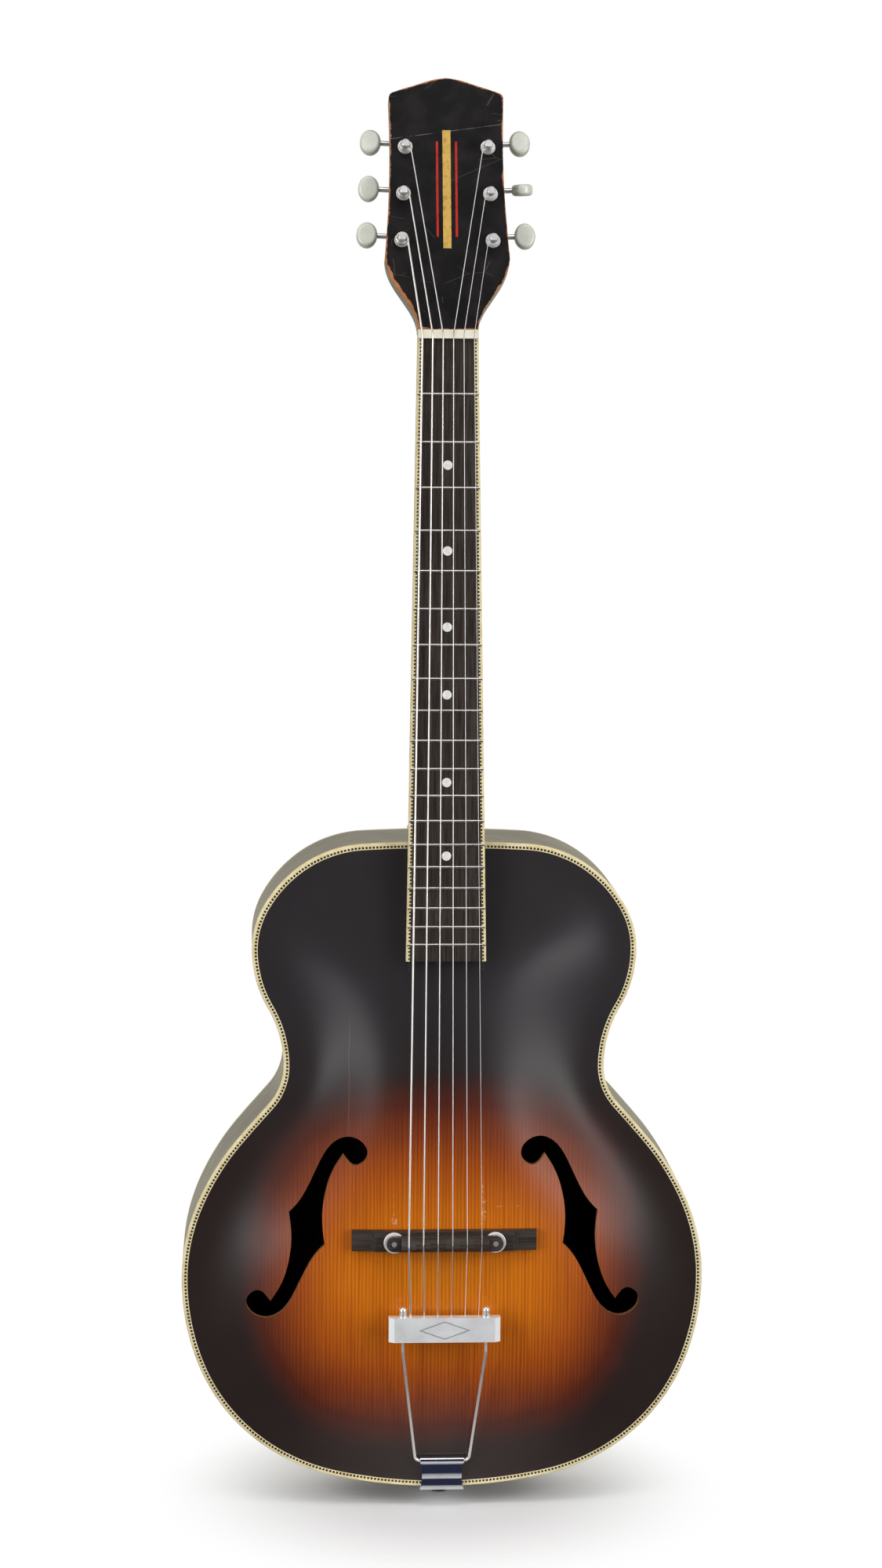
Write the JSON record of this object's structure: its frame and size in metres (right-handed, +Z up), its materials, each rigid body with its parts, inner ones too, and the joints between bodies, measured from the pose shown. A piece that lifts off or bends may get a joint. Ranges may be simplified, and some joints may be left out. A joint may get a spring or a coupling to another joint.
{
  "type": "archtop guitar",
  "caption": "Archtop acoustic guitar with arched sunburst top, f-shaped sound holes, adjustable bridge, trapeze tailpiece and worm-gear tuners.",
  "frame": {"origin": "lower end of the body's rim, on the centre line, at mid depth of the body", "axes": "+Z up along the neck, the front faces -Y, +X to the treble side"},
  "size_m": [0.379, 0.1303, 1.0343],
  "materials": {
    "spruce_top": "gloss lacquer, sunburst from amber to black-brown",
    "dark_lacquered_maple": "gloss lacquer, black-brown",
    "bare_wood": "bare",
    "cream_binding": "aged satin with a row of small black squares",
    "black_veneer": "gloss lacquer, worn at the edges",
    "ebonised_board": "satin, worn",
    "ebonised_bridge": "satin",
    "nickel_silver": "polished",
    "pearl": "pearly gloss",
    "bone": "satin",
    "nickel_plate": "nickel plate, lightly aged",
    "chrome_plate": "bright",
    "black_plastic": "gloss",
    "brass_gear": "aged",
    "mint_button": "aged, slightly translucent look",
    "plain_string": "bright",
    "wound_string": "wound, slightly dull"
  },
  "bodies": {
    "body": {"soundboard": "spruce_top", "back": "dark_lacquered_maple", "ribs": "dark_lacquered_maple", "neck": "dark_lacquered_maple", "neck_block": "bare_wood", "end_block": "bare_wood", "linings": "bare_wood", "tone_bars": "bare_wood", "body_bindings": "cream_binding", "fretboard_bindings": "cream_binding", "headstock_veneer": "black_veneer", "fretboard": "ebonised_board", "frets": "nickel_silver", "position_dots": "pearl", "nut": "bone", "bridge_base": "ebonised_bridge", "bridge_studs": "nickel_plate", "tailpiece_bar": "nickel_plate", "tailpiece_frame": "nickel_plate", "tailpiece_nuts": "nickel_plate", "tailpiece_hanger": "chrome_plate", "hanger_screws": "nickel_plate", "end_pin": "black_plastic", "post_bushings": "nickel_plate", "tuner_strips": "nickel_plate", "tuner_strip_screws": "nickel_plate", "string_1": "plain_string", "string_2": "plain_string", "string_3": "wound_string", "string_4": "wound_string", "string_5": "wound_string", "string_6": "wound_string"},
    "saddle": {"bridge_saddle": "ebonised_bridge"},
    "wheel_bass": {"thumbwheel_bass": "nickel_plate"},
    "wheel_treble": {"thumbwheel_treble": "nickel_plate"},
    "knob_1": {"tuner_button_1": "mint_button", "tuner_worm_1": "nickel_plate"},
    "post_1": {"string_post_1": "nickel_plate", "post_gear_1": "brass_gear"},
    "knob_2": {"tuner_button_2": "mint_button", "tuner_worm_2": "nickel_plate"},
    "post_2": {"string_post_2": "nickel_plate", "post_gear_2": "brass_gear"},
    "knob_3": {"tuner_button_3": "mint_button", "tuner_worm_3": "nickel_plate"},
    "post_3": {"string_post_3": "nickel_plate", "post_gear_3": "brass_gear"},
    "knob_4": {"tuner_button_4": "mint_button", "tuner_worm_4": "nickel_plate"},
    "post_4": {"string_post_4": "nickel_plate", "post_gear_4": "brass_gear"},
    "knob_5": {"tuner_button_5": "mint_button", "tuner_worm_5": "nickel_plate"},
    "post_5": {"string_post_5": "nickel_plate", "post_gear_5": "brass_gear"},
    "knob_6": {"tuner_button_6": "mint_button", "tuner_worm_6": "nickel_plate"},
    "post_6": {"string_post_6": "nickel_plate", "post_gear_6": "brass_gear"}
  },
  "joints": [
    {"name": "saddle_height", "type": "slide", "parent": "body", "child": "saddle", "axis": [0, -1, 0], "range_m": [-0.0014, 0.0021], "deforming": ["string_1", "string_2", "string_3", "string_4", "string_5", "string_6"]},
    {"name": "thumbwheel_bass_turn", "type": "hinge", "parent": "saddle", "child": "wheel_bass", "pos_m": [-0.0365, -0.0649, 0.18863], "axis": [0, -1, 0], "range_deg": [-720, 1080]},
    {"name": "thumbwheel_treble_turn", "type": "hinge", "parent": "saddle", "child": "wheel_treble", "pos_m": [0.0365, -0.0649, 0.18863], "axis": [0, -1, 0], "range_deg": [-720, 1080]},
    {"name": "knob_turn_1", "type": "hinge", "parent": "body", "child": "knob_1", "pos_m": [0.03204, 0.00197, 0.90638], "axis": [0.9991, 0.0113, 0.0403], "continuous": true},
    {"name": "post_turn_1", "type": "hinge", "parent": "body", "child": "post_1", "pos_m": [0.0324, -0.01864, 0.90325], "axis": [0, 0.9627, -0.2706], "continuous": true},
    {"name": "knob_turn_2", "type": "hinge", "parent": "body", "child": "knob_2", "pos_m": [0.0306, 0.0113, 0.93956], "axis": [0.9991, 0.0113, 0.0403], "continuous": true},
    {"name": "post_turn_2", "type": "hinge", "parent": "body", "child": "post_2", "pos_m": [0.03095, -0.00932, 0.93643], "axis": [0, 0.9627, -0.2706], "continuous": true},
    {"name": "knob_turn_3", "type": "hinge", "parent": "body", "child": "knob_3", "pos_m": [0.02915, 0.02063, 0.97275], "axis": [0.9991, 0.0113, 0.0403], "continuous": true},
    {"name": "post_turn_3", "type": "hinge", "parent": "body", "child": "post_3", "pos_m": [0.02951, 0.00001, 0.96962], "axis": [0, 0.9627, -0.2706], "continuous": true},
    {"name": "knob_turn_4", "type": "hinge", "parent": "body", "child": "knob_4", "pos_m": [-0.02915, 0.02063, 0.97275], "axis": [-0.9991, 0.0113, 0.0403], "continuous": true},
    {"name": "post_turn_4", "type": "hinge", "parent": "body", "child": "post_4", "pos_m": [-0.02951, 0.00001, 0.96962], "axis": [0, 0.9627, -0.2706], "continuous": true},
    {"name": "knob_turn_5", "type": "hinge", "parent": "body", "child": "knob_5", "pos_m": [-0.0306, 0.0113, 0.93956], "axis": [-0.9991, 0.0113, 0.0403], "continuous": true},
    {"name": "post_turn_5", "type": "hinge", "parent": "body", "child": "post_5", "pos_m": [-0.03095, -0.00932, 0.93643], "axis": [0, 0.9627, -0.2706], "continuous": true},
    {"name": "knob_turn_6", "type": "hinge", "parent": "body", "child": "knob_6", "pos_m": [-0.03204, 0.00197, 0.90638], "axis": [-0.9991, 0.0113, 0.0403], "continuous": true},
    {"name": "post_turn_6", "type": "hinge", "parent": "body", "child": "post_6", "pos_m": [-0.0324, -0.01864, 0.90325], "axis": [0, 0.9627, -0.2706], "continuous": true}
  ],
  "couplings": [
    {"joint": "saddle_height", "follows": "thumbwheel_bass_turn", "m_per_rad": 0.00011141},
    {"joint": "thumbwheel_treble_turn", "follows": "thumbwheel_bass_turn", "ratio": 1},
    {"joint": "post_turn_1", "follows": "knob_turn_1", "ratio": -0.071429},
    {"joint": "post_turn_2", "follows": "knob_turn_2", "ratio": -0.071429},
    {"joint": "post_turn_3", "follows": "knob_turn_3", "ratio": -0.071429},
    {"joint": "post_turn_4", "follows": "knob_turn_4", "ratio": 0.071429},
    {"joint": "post_turn_5", "follows": "knob_turn_5", "ratio": 0.071429},
    {"joint": "post_turn_6", "follows": "knob_turn_6", "ratio": 0.071429}
  ]
}
